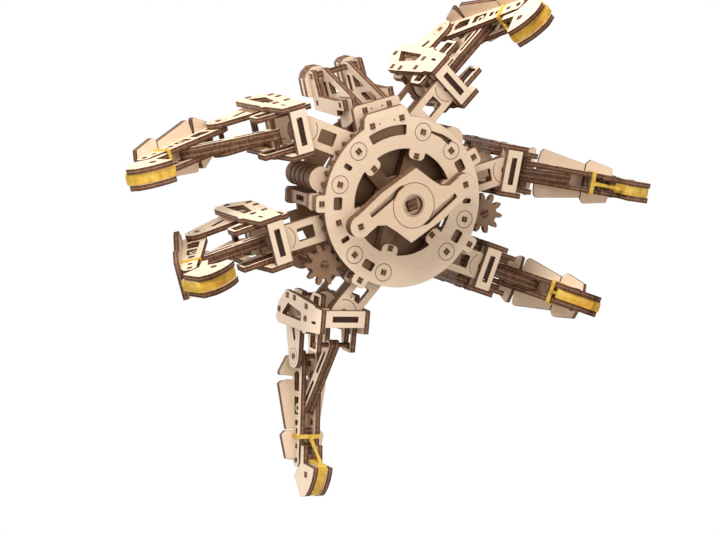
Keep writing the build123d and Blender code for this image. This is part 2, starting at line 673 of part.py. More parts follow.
def on_tibia(hip, solids):
    """Parts made along +X from the knee pin, turned to the tibia's angle."""
    u, v = KNEE
    return leg_part(hip, [Pos(u, 0, v) * Rot(0, -hip[4], 0) * solid for solid in solids])


# side frame of the tibia, along it from the knee and up from its axis; its outer edge is one sloping line
EDGE_UP = 8.9
EDGE_TILT = 4.0


def edge(along):
    return EDGE_UP - along * tan(radians(EDGE_TILT))


FRAME = (
    (-3.6, 3.5), (-3.4, 7.4), (-1.8, edge(-1.8)), (TIBIA, edge(TIBIA)),
    (TIBIA, -3.6), (48.0, -3.8), (46.0, -4.6), (2.0, -4.9), (-3.4, -3.0),
)
FRAME_WINDOWS = (
    ((9.5, -1.5), (8.5, 2.0), (10.5, 5.4), (20.0, 4.7), (20.3, -1.5)),
    ((23.6, -1.3), (23.6, 4.5), (33.8, 3.8), (33.8, -1.3)),
    ((37.0, -1.0), (37.0, 2.6), (40.0, 2.6), (40.0, -1.0)),
)
FIN_TABS = (6.0, 19.0, 37.0, 50.5)    # frames' tabs through the fins, along the outer edge
SPACERS = ((4.6, 5.0), (43.2, 0.4), (52.0, 0.4))
SPACER = (3.0, 2.4)


def tibia_frames():
    """Two long side frames with windows, the spacers and rod pin between them, and tabs for the fins."""
    frame = fillet(outline(*FRAME).vertices(), 1.0) + Pos(TIBIA, 0) * Circle(ANKLE_R)
    for window in FRAME_WINDOWS:
        frame -= fillet(outline(*window).vertices(), 0.6)
    frame += Pos(ROD_AT, 0) * Circle(2 * ROD_PIN_R)
    for along in FIN_TABS:
        tab = Pos(along, (PLY + PROUD) / 2 - PLY / 2) * Rectangle(TENON, 2 * PLY + PROUD)
        frame += Pos(0, EDGE_UP) * Rot(0, 0, -EDGE_TILT) * tab
    frame -= Circle(KNEE_PIN_R + PIN_FIT)
    frame -= Pos(TIBIA, 0) * Circle(ROD_PIN_R + PIN_FIT)
    frame -= Pos(ROD_AT, 0) * Circle(ROD_PIN_R)
    spacers = []
    for at in SPACERS:
        frame -= Pos(*at) * Rectangle(*SPACER)
        spacers.append(upright(Pos(*at) * Rectangle(*SPACER), -TIBIA_IN - PLY, 2 * (TIBIA_IN + PLY)))
    rod_pin = Pos(ROD_AT, 0, 0) * Rot(90, 0, 0) * Cylinder(ROD_PIN_R, 2 * (TIBIA_IN + PLY))
    return both_sides(upright(frame, TIBIA_IN)) + spacers + [rod_pin]


FINS = (                  # half outlines of the armour plates, along the edge and across
    ((0.0, 5.0), (0.0, 9.5), (9.7, 14.8), (11.3, 14.2), (12.0, 6.0)),
    ((14.0, 8.0), (14.8, 13.3), (16.3, 15.0), (42.9, 10.4), (42.9, 6.0)),
    ((43.5, 6.0), (43.5, 11.0), (46.0, 13.5), (59.8, 10.6), (60.7, 6.5)),
)


def fins():
    """Three armour plates lying across the frames' outer edges, on their tabs."""
    solids = []
    for half in FINS:
        points = list(half) + [(along, -across) for along, across in reversed(half)]
        plate = fillet(outline(*points).vertices(), 0.8)
        for along in FIN_TABS:
            for side in (1, -1):
                plate -= Pos(along, side * (TIBIA_IN + PLY / 2)) * Rectangle(TENON, PLY)
        solids.append(Pos(0, 0, EDGE_UP) * Rot(0, EDGE_TILT, 0) * flat(plate, 0))
    return solids


def push_rod(tibia_angle):
    """Rod of two plies with two long slots; it lies back toward the hip from its pin on the tibia."""
    turn = ROD_REST + ROD_RATIO * (TIBIA_TOP - tibia_angle)
    shape = Pos(-ROD / 2, 0) * SlotCenterToCenter(ROD, ROD_WIDTH)
    long = ROD / 2 - 2 * ROD_WIDTH / 2 - ROD_SLOT
    for share in (0.27, 0.73):
        shape -= Pos(-share * ROD, 0) * SlotOverall(long, ROD_SLOT)
    outer = shape - Circle(ROD_PIN_R + PIN_FIT) - Pos(-ROD, 0) * Circle(ROD_PIN_R)
    runner = Pos(-ROD, 0, 0) * Rot(90, 0, 0) * Cylinder(ROD_PIN_R, 2 * (BOX_HALF - GAP))
    solids = both_sides(upright(outer, 0)) + [runner]
    return [Pos(ROD_AT, 0, 0) * Rot(0, -turn, 0) * solid for solid in solids]


# foot outline, along the tibia from the ankle and up from its axis
HEEL = (2.5, -24.0)
SOLE_MIDDLE = (11.5, -20.5)
TOE = (19.5, -12.7)
PAD_EDGE = ((20.5, -6.5), (9.2, 3.0), (7.3, 1.2), (1.4, -5.2), (-9.0, -5.8), (-9.0, -9.4), (1.0, -9.8))
PAD_PIN = (7.0, -13.5)
SOLE_LENGTH = hypot(TOE[0] - HEEL[0], TOE[1] - HEEL[1])
INWARD = (-(TOE[1] - HEEL[1]) / SOLE_LENGTH, (TOE[0] - HEEL[0]) / SOLE_LENGTH)


def sole(depth):
    """Three points of the sole's curve, moved in from the pads' edge."""
    return [(x + depth * INWARD[0], y + depth * INWARD[1]) for x, y in (HEEL, SOLE_MIDDLE, TOE)]


def foot():
    """Two curved pads outside a core of two plies that turns on the ankle pin."""
    line = Polyline(TOE, *PAD_EDGE, HEEL)
    pad = make_face(Wire([*ThreePointArc(*sole(0)).edges(), *line.edges()]))
    core = Pos(SOLE_RECESS * INWARD[0], SOLE_RECESS * INWARD[1]) * pad
    core += Circle(ANKLE_R) + outline((0, ANKLE_R), (8, 1), (12, -5), (2, -10), (-ANKLE_R, 0))
    core = core & outline((-ANKLE_R, 5), (30, 5), (30, -30), (-ANKLE_R, -30))
    core -= Circle(ROD_PIN_R) + square(PAD_PIN)
    pads = both_sides(upright(pad - square(PAD_PIN), PLY))
    pin = upright(square(PAD_PIN), -2 * PLY - PROUD, 4 * PLY + 2 * PROUD)
    ankle = Rot(90, 0, 0) * Cylinder(ROD_PIN_R, 2 * (TIBIA_IN + PLY + PROUD))
    return [Pos(TIBIA, 0, 0) * solid for solid in pads + both_sides(upright(core, 0)) + [pin, ankle]]


HEEL_UP = (1.0, -9.8)     # upper end of the core's heel edge


def foot_band():
    """Flat rubber band that lies along the core's sole and up its heel, between the pads."""
    outer, inner = sole(SOLE_RECESS - FOOT_BAND), sole(SOLE_RECESS)
    edges = [ThreePointArc(*outer), Line(outer[2], inner[2]), ThreePointArc(*inner), Line(inner[0], outer[0])]
    band = make_face(Wire([edge for line in edges for edge in line.edges()]))
    corner = inner[0]
    top = (HEEL_UP[0] + SOLE_RECESS * INWARD[0], HEEL_UP[1] + SOLE_RECESS * INWARD[1])
    back = (top[0] - FOOT_BAND, top[1])
    band += outline(outer[0], corner, top, back, (corner[0] - FOOT_BAND, corner[1] - FOOT_BAND / 2))
    return [Pos(TIBIA, 0, 0) * upright(band, -BAND_HALF, 2 * BAND_HALF)]


for number, hip in HIPS.items():
    leg = f"leg{number}_"
    save(leg + "hip_box", leg_part(hip, hip_box()))
    save(leg + "shoulder_links", leg_part(hip, shoulder_links()))
    save(leg + "tibia", on_tibia(hip, tibia_frames()))
    save(leg + "fins", on_tibia(hip, fins()))
    save(leg + "push_rod", on_tibia(hip, push_rod(hip[4])))
    save(leg + "foot", on_tibia(hip, foot()))
    save(leg + "foot_band", on_tibia(hip, foot_band()))

# ---------------------------------------------------------------- stand it on its feet
corners = [solid.bounding_box() for solids in nodes.values() for solid in solids]
low = [min(getattr(corner.min, axis) for corner in corners) for axis in "XYZ"]
high = [max(getattr(corner.max, axis) for corner in corners) for axis in "XYZ"]
STAND = Pos(-(low[0] + high[0]) / 2, -(low[1] + high[1]) / 2, -low[2])
print("belly centre above the floor", tuple(STAND.position))

os.makedirs("parts", exist_ok=True)
for name, solids in nodes.items():
    export_step(Compound(children=[STAND * solid for solid in solids]), f"parts/{name}.step")
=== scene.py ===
from math import atan2, cos, degrees, pi, radians, sin

import bmesh
import bpy
import numpy as np
from mathutils import Matrix, Vector


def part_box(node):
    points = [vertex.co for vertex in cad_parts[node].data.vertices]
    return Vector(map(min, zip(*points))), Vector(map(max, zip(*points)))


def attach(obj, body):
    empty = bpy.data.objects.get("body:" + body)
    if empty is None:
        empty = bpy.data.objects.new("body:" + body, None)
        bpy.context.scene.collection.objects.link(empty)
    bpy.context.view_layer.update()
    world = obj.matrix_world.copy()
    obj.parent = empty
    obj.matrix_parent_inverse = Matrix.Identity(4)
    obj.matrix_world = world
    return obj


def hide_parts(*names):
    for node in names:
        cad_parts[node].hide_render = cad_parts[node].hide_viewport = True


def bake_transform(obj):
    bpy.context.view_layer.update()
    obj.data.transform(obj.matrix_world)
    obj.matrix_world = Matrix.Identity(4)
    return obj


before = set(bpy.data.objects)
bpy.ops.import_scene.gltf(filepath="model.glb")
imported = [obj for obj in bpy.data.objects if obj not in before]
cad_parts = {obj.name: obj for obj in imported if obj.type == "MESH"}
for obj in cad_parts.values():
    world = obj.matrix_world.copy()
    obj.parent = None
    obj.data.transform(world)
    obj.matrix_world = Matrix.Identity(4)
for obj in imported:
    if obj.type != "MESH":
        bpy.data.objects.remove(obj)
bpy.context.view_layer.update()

# ---------------------------------------------------------------- laser-cut plywood
# Every plate is 3 mm birch plywood cut by a laser: pale faces with long grain,
# and edges burnt brown through which the three plies still show. The plates go
# together with tenons and square pins, without glue.
MM = 0.001
PLY = 3.0 * MM                        # one sheet's thickness
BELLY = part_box("belly_ring")[0].z     # outer face of the belly ring


class Wire:
    """A shader socket that adds, multiplies and compares like a number."""

    def __init__(self, socket):
        self.socket = socket
        self.tree = socket.id_data

    def math(self, operation, other=None, clamp=False):
        inputs = {0: self} if other is None else {0: self, 1: other}
        return node(self.tree, "ShaderNodeMath", {"operation": operation, "use_clamp": clamp}, inputs)

    def clamped(self, scale=1.0):
        """The value times a number, kept between 0 and 1."""
        return self.math("MULTIPLY", scale, clamp=True)

    def __add__(self, other): return self.math("ADD", other)
    def __radd__(self, other): return self.math("ADD", other)
    def __mul__(self, other): return self.math("MULTIPLY", other)
    def __rmul__(self, other): return self.math("MULTIPLY", other)
    def __sub__(self, other): return self.math("SUBTRACT", other)
    def __rsub__(self, other): return (self * -1.0).math("ADD", other)
    def __truediv__(self, other): return self.math("DIVIDE", other)
    def __lt__(self, other): return self.math("LESS_THAN", other)


def node(tree, kind, settings=None, inputs=None, output=0):
    """Adds a node: its settings first, then values or Wires for its sockets."""
    made = tree.nodes.new(kind)
    for name, value in (settings or {}).items():
        if name == "stops":
            ramp = made.color_ramp
            while len(ramp.elements) < len(value):
                ramp.elements.new(0.5)
            for element, (place, colour) in zip(ramp.elements, value):
                element.position = place
                element.color = (*colour, 1.0)
        else:
            setattr(made, name, value)
    for key, value in (inputs or {}).items():
        if isinstance(value, Wire):
            tree.links.new(value.socket, made.inputs[key])
        elif isinstance(value, tuple) and len(value) == 3 and made.inputs[key].type == "RGBA":
            made.inputs[key].default_value = (*value, 1.0)
        else:
            made.inputs[key].default_value = value
    return Wire(made.outputs[output])


def mix(tree, share, first, second):
    """Two colours mixed."""
    settings = {"data_type": "RGBA", "blend_type": "MIX"}
    return node(tree, "ShaderNodeMix", settings, {0: share, 6: first, 7: second}, output=2)


def new_finish(name, colour, roughness):
    """An empty material with one Principled shader; returns it, its tree and the shader node."""
    material = bpy.data.materials.new(name)
    material.use_nodes = True
    material.diffuse_color = (*colour, 1.0)
    tree = material.node_tree
    tree.nodes.clear()
    out = tree.nodes.new("ShaderNodeOutputMaterial")
    principled = tree.nodes.new("ShaderNodeBsdfPrincipled")
    tree.links.new(principled.outputs[0], out.inputs[0])
    principled.inputs["Roughness"].default_value = roughness
    return material, tree, principled


def plug(principled, name, wire):
    """Leads a Wire to one of the shader's sockets."""
    wire.tree.links.new(wire.socket, principled.inputs[name])


def grain_of(tree):
    """Place along the grain, across it and through the sheet, as dress() writes it."""
    return node(tree, "ShaderNodeAttribute", {"attribute_name": "grain"}, output=1)


def streaks(tree, place, stretch, scale, detail, **more):
    """Noise drawn out along the grain."""
    drawn = node(tree, "ShaderNodeMapping", {}, {"Vector": place, "Scale": stretch})
    return node(tree, "ShaderNodeTexNoise", {}, {"Vector": drawn, "Scale": scale, "Detail": detail, **more})


def ridges(tree, height, strength, depth):
    """Bump from a pattern, its depth in metres."""
    return node(tree, "ShaderNodeBump", {}, {"Strength": strength, "Distance": depth, "Height": height})


BIRCH_PALE = (0.87, 0.705, 0.535)
BIRCH_DEEP = (0.72, 0.515, 0.345)
SHADE_PALE = (0.31, 0.19, 0.11)       # painted shade: faces inside the body, the same birch darkened where it lies in shade
SHADE_DEEP = (0.20, 0.115, 0.064)
BURNT = (0.070, 0.026, 0.012)
BURNT_PALE = (0.34, 0.175, 0.098)
CHAR = (0.022, 0.010, 0.006)
FIBRES = (28.0, 420.0, 60.0)          # repeats to the metre along the grain, across it and through the sheet
SLOW_BANDS = (9.0, 70.0, 20.0)
BURNS = (420.0, 420.0, 90.0)
CHAR_REACH = 0.6 * MM                 # how far a cut browns the face beside it


def sheet_finish(name, pale, deep):
    """Birch face: long fibres, slow bands of tone, a char line along the cut."""
    material, tree, principled = new_finish(name, pale, 0.62)
    principled.inputs["Specular IOR Level"].default_value = 0.3
    grain = grain_of(tree)
    tone = node(tree, "ShaderNodeAttribute", {"attribute_name": "tone"}, output=2)
    fibre = streaks(tree, grain, FIBRES, 3.0, 5.0, Roughness=0.65)
    band = streaks(tree, grain, SLOW_BANDS, 2.0, 2.0, Distortion=0.6)
    wood = mix(tree, (fibre * 0.7 + band * 0.6 + tone * 0.35 - 0.42).clamped(), pale, deep)
    rounded = node(tree, "ShaderNodeBevel", {"samples": 4}, {"Radius": CHAR_REACH})
    level = node(tree, "ShaderNodeNewGeometry", {}, output=1)
    away = node(tree, "ShaderNodeVectorMath", {"operation": "DOT_PRODUCT"}, {0: rounded, 1: level}, output=1)
    char = (1.0 - away).clamped(3.2)
    plug(principled, "Base Color", mix(tree, char * 0.75, wood, BURNT))
    plug(principled, "Roughness", fibre * 0.25 + 0.48)
    plug(principled, "Normal", ridges(tree, fibre, 0.25, 0.08 * MM))
    return material


def edge_finish(name):
    """Laser-burnt edge: three plies, the middle one paler, the glue lines darkest, streaked by the beam."""
    material, tree, principled = new_finish(name, BURNT, 0.7)
    principled.inputs["Specular IOR Level"].default_value = 0.25
    grain = grain_of(tree)
    depth = node(tree, "ShaderNodeSeparateXYZ", {}, {"Vector": grain}, output=2)
    in_ply = (depth / (PLY / 3)).math("FRACT")
    glue = ((in_ply - 0.5).math("ABSOLUTE") * 2.0 - 0.72).clamped(4.0)
    streak = streaks(tree, grain, BURNS, 1.6, 4.0, Roughness=0.7)
    middle = ((depth / PLY).math("FRACT") - 0.5).math("ABSOLUTE") < 1 / 6
    warm = mix(tree, (streak * 1.6 - 0.62 + middle * 0.5).clamped(), BURNT, BURNT_PALE)
    plug(principled, "Base Color", mix(tree, glue * 0.8, warm, CHAR))
    plug(principled, "Normal", ridges(tree, streak, 0.3, 0.1 * MM))
    return material


SHEET = sheet_finish("birch_sheet", BIRCH_PALE, BIRCH_DEEP)
# Painted shade: the same birch made dark, for faces that lie in shade inside the body.
SHADE_SHEET = sheet_finish("painted_shade_sheet", SHADE_PALE, SHADE_DEEP)
EDGE = edge_finish("burnt_edge")


def solids_of(mesh):
    """Each triangle's solid, joined across every edge that just two share, and the triangles' corners."""
    count = len(mesh.polygons)
    places = np.zeros(len(mesh.vertices) * 3, np.float32)
    mesh.vertices.foreach_get("co", places)
    places = places.reshape(-1, 3)
    loops = np.zeros(len(mesh.loops), np.int32)
    mesh.loops.foreach_get("vertex_index", loops)
    rounded = np.round(places * 1e6).astype(np.int64)
    _, same = np.unique(rounded, axis=0, return_inverse=True)
    edges = {}
    for index, (a, b, c) in enumerate(same.reshape(-1)[loops].reshape(-1, 3)):
        for pair in ((a, b), (b, c), (c, a)):
            edges.setdefault((min(pair), max(pair)), []).append(index)
    parent = list(range(count))

    def root(i):
        while parent[i] != i:
            parent[i] = parent[parent[i]]
            i = parent[i]
        return i

    for shared in edges.values():
        if len(shared) == 2:
            parent[root(shared[0])] = root(shared[1])
    return np.array([root(i) for i in range(count)]), places[loops].reshape(-1, 3, 3)


FACE, CUT, SHADE_FACES = range(3)          # a plate's finishes, by their place in its mesh; the third is painted shade
PARALLEL, LEVEL = 0.99, 0.9           # cosines: the same way, and nearly so
TRIED = 40                            # triangles tried for a plate's direction, the largest first
SHEET_WEIGHT = 3                      # how much more area counts where the solid is one sheet thick
NARROW = 4.6 * MM                     # pins and wedges under this width are burnt all over: on the pins the burnt colour is their own, on the wedges it is painted shade of the slots they fill


def plate_direction(area, normal, corners):
    """Which way a solid's faces look: where most of its area lies and it is one sheet thick."""
    best, most = None, -1.0
    for i in np.argsort(-area)[:TRIED]:
        total = area[np.abs(normal @ normal[i]) > PARALLEL].sum()
        if abs(np.ptp(corners @ normal[i]) - PLY) < 0.1 * MM:
            total *= SHEET_WEIGHT
        if total > most:
            best, most = normal[i], total
    return best


def dress(name, sheet, seed, shade_from=None, shade_under=False):
    """Gives a node's plates their faces, burnt edges, grain and tone.

    Solids whose lowest point lies above a given height get faces with painted shade, or, when asked, only
    the faces that look down do.
    """
    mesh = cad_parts[name].data
    groups, corners = solids_of(mesh)
    cross = np.cross(corners[:, 1] - corners[:, 0], corners[:, 2] - corners[:, 0])
    area = np.linalg.norm(cross, axis=1)
    normal = cross / np.maximum(area, 1e-12)[:, None]
    chance = np.random.default_rng(seed)
    grain = np.zeros((len(groups), 3, 3), np.float32)
    tone = np.zeros(len(groups), np.float32)
    slot = np.zeros(len(groups), np.int32)
    for group in np.unique(groups):
        mine = np.flatnonzero(groups == group)
        own, facing = corners[mine], normal[mine]
        best = plate_direction(area[mine], facing, own)
        points = own.reshape(-1, 3)
        spread = points - points.mean(0)
        spread = spread - np.outer(spread @ best, best)
        along = np.linalg.eigh(spread.T @ spread)[1][:, 2]
        across = np.cross(best, along)
        shift = chance.uniform(-1, 1, 3)
        depth = own @ best
        grain[mine, :, 0] = own @ along + shift[0]
        grain[mine, :, 1] = own @ across + shift[1]
        grain[mine, :, 2] = depth - depth.min()
        tone[mine] = chance.uniform(0, 1)
        widths = sorted(np.ptp(points @ axis) for axis in (along, across, best))
        # Narrow pieces get the burnt edge all over; on the wedges this is painted shade in their slots.
        cut = (np.abs(facing @ best) < LEVEL) | (widths[1] < NARROW)
        # Faces that get painted shade: those that look down, or all of a solid above the given height.
        if shade_under:
            in_shade = facing[:, 2] < -LEVEL
        else:
            in_shade = shade_from is not None and points[:, 2].min() > shade_from
        slot[mine] = np.where(cut, CUT, np.where(in_shade, SHADE_FACES, FACE))
    layer = mesh.attributes.new("grain", "FLOAT_VECTOR", "CORNER")
    layer.data.foreach_set("vector", grain.reshape(-1))
    layer = mesh.attributes.new("tone", "FLOAT", "FACE")
    layer.data.foreach_set("value", tone)
    mesh.materials.clear()
    mesh.materials.append(sheet)
    mesh.materials.append(EDGE)
    if shade_under or shade_from is not None:
        mesh.materials.append(SHADE_SHEET)
    mesh.polygons.foreach_set("material_index", slot)
    mesh.update()


# Parts deep inside the body, whose faces all get painted shade.
SHADED_PARTS = (
    "drive_gear", "motor_drum", "pinion_left", "pinion_right", "ratchet_wheel",
    "chassis_posts", "stacked_pillars",
)
for number, name in enumerate(sorted(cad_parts)):
    if name == "belly_ring":          # painted shade on the backing ring behind its face
        dress(name, SHEET, number, shade_from=BELLY + 2 * MM)
    elif name == "upper_arm_frame":   # painted shade on the side that looks into the body
        dress(name, SHEET, number, shade_under=True)
    else:
        dress(name, SHADE_SHEET if name in SHADED_PARTS else SHEET, number)

# ---------------------------------------------------------------- etched lines
# Circles round the belly's pins, the lever's hub and the knees, arcs on the arms beside
# the hips and small dots: the laser runs over them at low power, so they are thin and burnt.
shaft_low, shaft_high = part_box("winding_shaft")
AXIS = Vector(((shaft_low.x + shaft_high.x) / 2, (shaft_low.y + shaft_high.y) / 2, 0))
LINE_HEIGHT = 0.08 * MM               # half of it lies in the wood
LINE, THIN, FINE = 0.42, 0.35, 0.3    # widths of the lines
HIPS = {                  # pivot x, pivot y, arm's direction, leg's sweep from it, shank's slope
    1: (53.2, -44.8, -56.0, -34.0, -25.0), 4: (53.2, 44.8, 56.0, 2.0, -64.0),
    2: (-2.5, -71.0, -90.0, -2.0, -64.0), 5: (-2.5, 71.0, 90.0, 24.0, -15.0),
    3: (-53.2, -44.8, -124.0, -38.0, -8.0), 6: (-53.2, 44.8, 124.0, 0.0, -64.0),
}
ARM_FACE = 9.6            # lower arm frame's outer face above the belly's
LEVER_FACE = -13.0
KNEE_OUT, KNEE_RISE = 33.0, 51.0      # the knee's pin from the hip's pivot
LINK_FACE = 9.6           # shoulder links' outer faces, from the leg's middle plane
PIN_CIRCLE, PINS_AT = 4.9, 40.5       # circles' radius, and how far from the axis they lie
HUB_CIRCLE, HUB_INNER = 12.6, 6.3
ARM_ARC, ARC_FROM, ARC_SWEEP = 7.6, 130.0, 100.0
KNEE_CIRCLE, KNEE_RING = 4.7, 2.5
DOT = 0.5


def row(x, y, z):
    """A point in millimetres from the middle of the belly's outer face, in the frame's metres."""
    return Vector((AXIS.x + x * MM, AXIS.y + y * MM, BELLY + z * MM))


def etched_material():
    """Thin burnt line, cloudy where the beam has slowed."""
    material, tree, principled = new_finish("etched_line", BURNT, 0.8)
    place = node(tree, "ShaderNodeTexCoord", {}, output=3)
    cloud = node(tree, "ShaderNodeTexNoise", {}, {"Vector": place, "Scale": 900.0, "Detail": 3.0})
    plug(principled, "Base Color", mix(tree, cloud, BURNT, BURNT_PALE))
    return material


def new_tree(name, inputs):
    """An empty Geometry Nodes tree: itself, its named inputs' identifiers, its two ends and its linker."""
    tree = bpy.data.node_groups.new(name, "GeometryNodeTree")
    face = tree.interface
    face.new_socket("Geometry", in_out="INPUT", socket_type="NodeSocketGeometry")
    sockets = {
        label: face.new_socket(label, in_out="INPUT", socket_type=f"NodeSocket{kind}").identifier
        for label, kind in inputs.items()
    }
    face.new_socket("Geometry", in_out="OUTPUT", socket_type="NodeSocketGeometry")
    return tree, sockets, tree.nodes.new("NodeGroupInput"), tree.nodes.new("NodeGroupOutput"), tree.links.new


def place_on_points(tree, given, made, solid, turn):
    """The tree's last part: a solid on each point of its mesh, made real, with its finish."""
    spread = tree.nodes.new("GeometryNodeInstanceOnPoints")
    real = tree.nodes.new("GeometryNodeRealizeInstances")
    finish = tree.nodes.new("GeometryNodeSetMaterial")
    join = tree.links.new
    join(given.outputs["Geometry"], spread.inputs["Points"])
    join(solid.outputs["Mesh"], spread.inputs["Instance"])
    join(turn, spread.inputs["Rotation"])
    join(spread.outputs["Instances"], real.inputs["Geometry"])
    join(real.outputs["Geometry"], finish.inputs["Geometry"])
    join(given.outputs["Material"], finish.inputs["Material"])
    join(finish.outputs["Geometry"], made.inputs["Geometry"])


def etching_tree():
    """Thin flat lines along an arc round each point of the mesh that the tree is put on."""
    tree, sockets, given, made, join = new_tree("etching", {
        "Radius": "Float", "Line Width": "Float", "Line Height": "Float", "Start": "Float", "Sweep": "Float",
        "Turn": "Vector", "Material": "Material",
    })
    arc = tree.nodes.new("GeometryNodeCurveArc")
    arc.inputs["Resolution"].default_value = 64
    strip = tree.nodes.new("GeometryNodeCurvePrimitiveQuadrilateral")
    solid = tree.nodes.new("GeometryNodeCurveToMesh")
    solid.inputs["Fill Caps"].default_value = True
    join(given.outputs["Radius"], arc.inputs["Radius"])
    join(given.outputs["Start"], arc.inputs["Start Angle"])
    join(given.outputs["Sweep"], arc.inputs["Sweep Angle"])
    join(given.outputs["Line Width"], strip.inputs["Width"])
    join(given.outputs["Line Height"], strip.inputs["Height"])
    join(arc.outputs["Curve"], solid.inputs["Curve"])
    join(strip.outputs["Curve"], solid.inputs["Profile Curve"])
    place_on_points(tree, given, made, solid, given.outputs["Turn"])
    return tree, sockets


ETCHED = etched_material()
ETCHING, ETCHING_SOCKETS = etching_tree()


def new_object(name, data):
    """An object in the scene, unmoved."""
    thing = bpy.data.objects.new(name, data)
    bpy.context.scene.collection.objects.link(thing)
    return thing


def grown(name, places, tree, sockets, values):
    """A plain mesh of what a tree makes on the places."""
    mesh = bpy.data.meshes.new(name)
    mesh.from_pydata(places, [], [])
    thing = new_object(name, mesh)
    modifier = thing.modifiers.new(tree.name, "NODES")
    modifier.node_group = tree
    for label, value in values.items():
        modifier[sockets[label]] = value
    graph = bpy.context.evaluated_depsgraph_get()
    mesh = bpy.data.meshes.new_from_object(thing.evaluated_get(graph), depsgraph=graph)
    mesh.name = name
    thing.modifiers.clear()
    thing.data = mesh
    return thing


def etch(name, body, places, radius, width=LINE, start=0.0, sweep=359.9, turn=(0.0, 0.0, 0.0)):
    """One piece of etched arcs in millimetres, round points given from the belly's middle."""
    values = {
        "Radius": radius * MM, "Line Width": width * MM, "Line Height": LINE_HEIGHT,
        "Start": radians(start), "Sweep": radians(sweep), "Turn": turn, "Material": ETCHED,
    }
    thing = grown(name, [row(*place) for place in places], ETCHING, ETCHING_SOCKETS, values)
    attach(thing, body)


ringed = [
    (PINS_AT * cos(radians(side * angle)), PINS_AT * sin(radians(side * angle)), 0)
    for angle in (30, 60, 120, 150) for side in (1, -1)
]
etch("belly_circles", "chassis", ringed, PIN_CIRCLE)
dots = [(54.0, side * 3.4, ARM_FACE) for side in (1, -1)] + [(46.3, side * 4.6, 0) for side in (1, -1)]
etch("drilled_dots", "chassis", dots, DOT / 2, width=DOT)
etch("lever_circle", "winder", [(0, 0, LEVER_FACE)], HUB_CIRCLE)
etch("lever_inner_circle", "winder", [(0, 0, LEVER_FACE)], HUB_INNER, width=FINE)
for number, (x, y, direction, _, _) in HIPS.items():
    start = direction + ARC_FROM
    etch(f"arm{number}_arc", "chassis", [(x, y, ARM_FACE)], ARM_ARC, start=start, sweep=ARC_SWEEP)
for number, (x, y, direction, sweep, _) in HIPS.items():
    turn = radians(direction + sweep)
    knees = [
        (x + KNEE_OUT * cos(turn) - side * sin(turn), y + KNEE_OUT * sin(turn) + side * cos(turn), KNEE_RISE)
        for side in (-LINK_FACE, LINK_FACE)
    ]
    upright = (pi / 2, 0.0, turn)
    etch(f"leg{number}_knee_circles", f"leg{number}_hip", knees, KNEE_CIRCLE, width=THIN, turn=upright)
    etch(f"leg{number}_knee_rings", f"leg{number}_hip", knees, KNEE_RING, width=FINE, turn=upright)

# ---------------------------------------------------------------- rubber round the shanks
# A flat yellow rubber band is looped round each shank, above the ankle, and stretched
# from there to the heel as a tendon: it pulls the foot back after each step.
BAND_YELLOW = (0.72, 0.44, 0.050)
BAND_DEEP = (0.44, 0.22, 0.018)
BAND_PALE = (0.84, 0.63, 0.14)
LOOP_FROM, LOOP_TO = 45.0, 47.4       # the loop's edges along the shank
LOOP_GAP = 0.02                       # what the loop clears the wood by
BAND_THICK = 0.7
SHANK_HALF = 6.3          # half the shank's width over both side frames
SHANK_LOW = -4.6          # its inner edge
SHANK_HIGH = 5.65         # underside of the armour plate
CORNER_STEPS = 6
HEEL = (62.2, -23.4)      # where the tendon joins the sole's band
TENDON_HALF = 1.3
TENDON_WAIST = 0.35       # the share of its width that it loses where it is stretched most
TENDON_STEPS = 12
TENDON_OUT = (0.77, 0.64)             # away from the leg, along the shank and up


def band_finish():
    """Slightly waxy natural rubber: cloudy, here deeper and there paler, finely ribbed."""
    material, tree, principled = new_finish("band_rubber", BAND_YELLOW, 0.42)
    place = node(tree, "ShaderNodeTexCoord", {}, output=3)
    cloud = node(tree, "ShaderNodeTexNoise", {}, {"Vector": place, "Scale": 260.0, "Detail": 4.0})
    fine = node(tree, "ShaderNodeTexNoise", {}, {"Vector": place, "Scale": 1500.0, "Detail": 2.0})
    settings = {"stops": [(0.25, BAND_DEEP), (0.5, BAND_YELLOW), (0.75, BAND_PALE)]}
    tint = node(tree, "ShaderNodeValToRGB", settings, {"Fac": cloud * 0.8 + fine * 0.2})
    plug(principled, "Base Color", tint)
    plug(principled, "Roughness", cloud * 0.3 + 0.28)
    plug(principled, "Normal", ridges(tree, fine, 0.35, 0.1 * MM))
    return material


BAND = band_finish()


def on_shank(number, along, side, height):
    """A point along a leg's shank from its knee, to its left side and up from its axis."""
    x, y, direction, sweep, slope = HIPS[number]
    turn, lean = radians(direction + sweep), radians(slope)
    out = KNEE_OUT + along * cos(lean) - height * sin(lean)
    rise = KNEE_RISE + along * sin(lean) + height * cos(lean)
    return row(x + out * cos(turn) - side * sin(turn), y + out * sin(turn) + side * cos(turn), rise)


def strap(name, rings):
    """A closed strap through rings of points that all have the same number of corners."""
    size = len(rings[0])
    faces = [tuple(reversed(range(size))), tuple(range(len(rings) * size - size, len(rings) * size))]
    for lower in range(0, (len(rings) - 1) * size, size):
        for i in range(size):
            j = (i + 1) % size
            faces.append((lower + i, lower + j, lower + size + j, lower + size + i))
    mesh = bpy.data.meshes.new(name)
    mesh.from_pydata([point for ring in rings for point in ring], [], faces)
    shell = bmesh.new()
    shell.from_mesh(mesh)
    bmesh.ops.recalc_face_normals(shell, faces=shell.faces)
    shell.to_mesh(mesh)
    shell.free()
    mesh.materials.append(BAND)
    thing = new_object(name, mesh)
    return thing


def loop_path():
    """Middle line of the loop across the shank, round its two inner corners, and its outward directions."""
    path = [(-SHANK_HALF, SHANK_HIGH, 180.0)]
    for middle, first in ((-SHANK_HALF, 180.0), (SHANK_HALF, 270.0)):
        path += [(middle, SHANK_LOW, first + 90.0 * step / CORNER_STEPS) for step in range(CORNER_STEPS + 1)]
    return path + [(SHANK_HALF, SHANK_HIGH, 360.0)]


